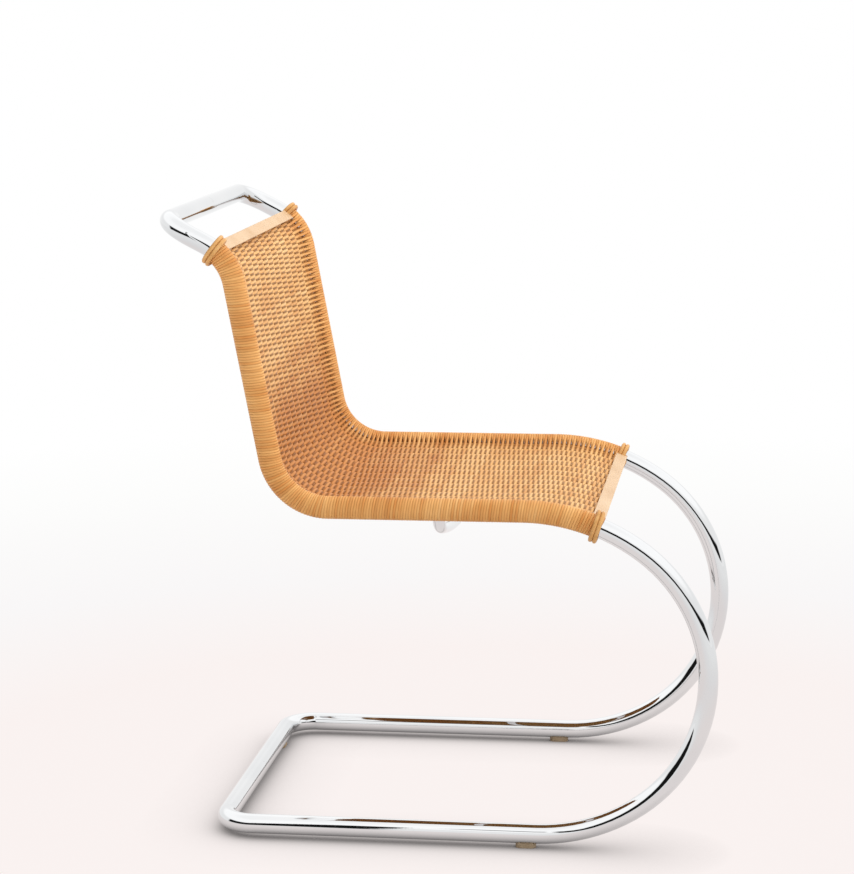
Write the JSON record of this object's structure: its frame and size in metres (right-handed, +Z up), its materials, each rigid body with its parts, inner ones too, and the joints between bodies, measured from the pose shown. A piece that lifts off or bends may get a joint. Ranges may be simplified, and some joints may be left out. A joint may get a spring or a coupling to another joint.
{
  "type": "cantilever side chair",
  "caption": "Cantilever side chair without back legs: a loop of bent chromed tube carries one continuous woven cane seat and back, with wound side rails.",
  "frame": {"origin": "on the floor, in the middle of the chair's plan", "axes": "+Z up; the chair faces -Y; +X towards the sitter's left"},
  "size_m": [0.5064, 0.6972, 0.7974],
  "materials": {
    "chrome_tube": "bright polished plate",
    "plain_steel": "plain turned steel",
    "glide_plastic": "tan moulded, slightly cloudy",
    "wound_cane": "fine round cane, satin, honey tan",
    "woven_cane": "fine round cane, satin, honey tan",
    "cane_rod": "round cane rod, satin",
    "peeled_strip": "flat peeled cane skin, smooth and pale"
  },
  "bodies": {
    "root": {"right_side_tube": "chrome_tube", "left_side_tube": "chrome_tube", "seat_stretcher": "chrome_tube", "top_joint_spigot": "plain_steel", "base_joint_spigot": "plain_steel", "top_joint_screws": "plain_steel", "base_joint_screws": "plain_steel", "right_stretcher_plug": "plain_steel", "left_stretcher_plug": "plain_steel", "right_stretcher_bolt": "plain_steel", "left_stretcher_bolt": "plain_steel", "front_right_glide": "glide_plastic", "front_left_glide": "glide_plastic", "rear_right_glide": "glide_plastic", "rear_left_glide": "glide_plastic", "right_rail_wrap": "wound_cane", "left_rail_wrap": "wound_cane", "top_bindings": "wound_cane", "front_bindings": "wound_cane", "woven_panel": "woven_cane", "top_edge_rod": "cane_rod", "front_edge_rod": "cane_rod", "top_edge_strip": "peeled_strip", "front_edge_strip": "peeled_strip"}
  },
  "joints": []
}
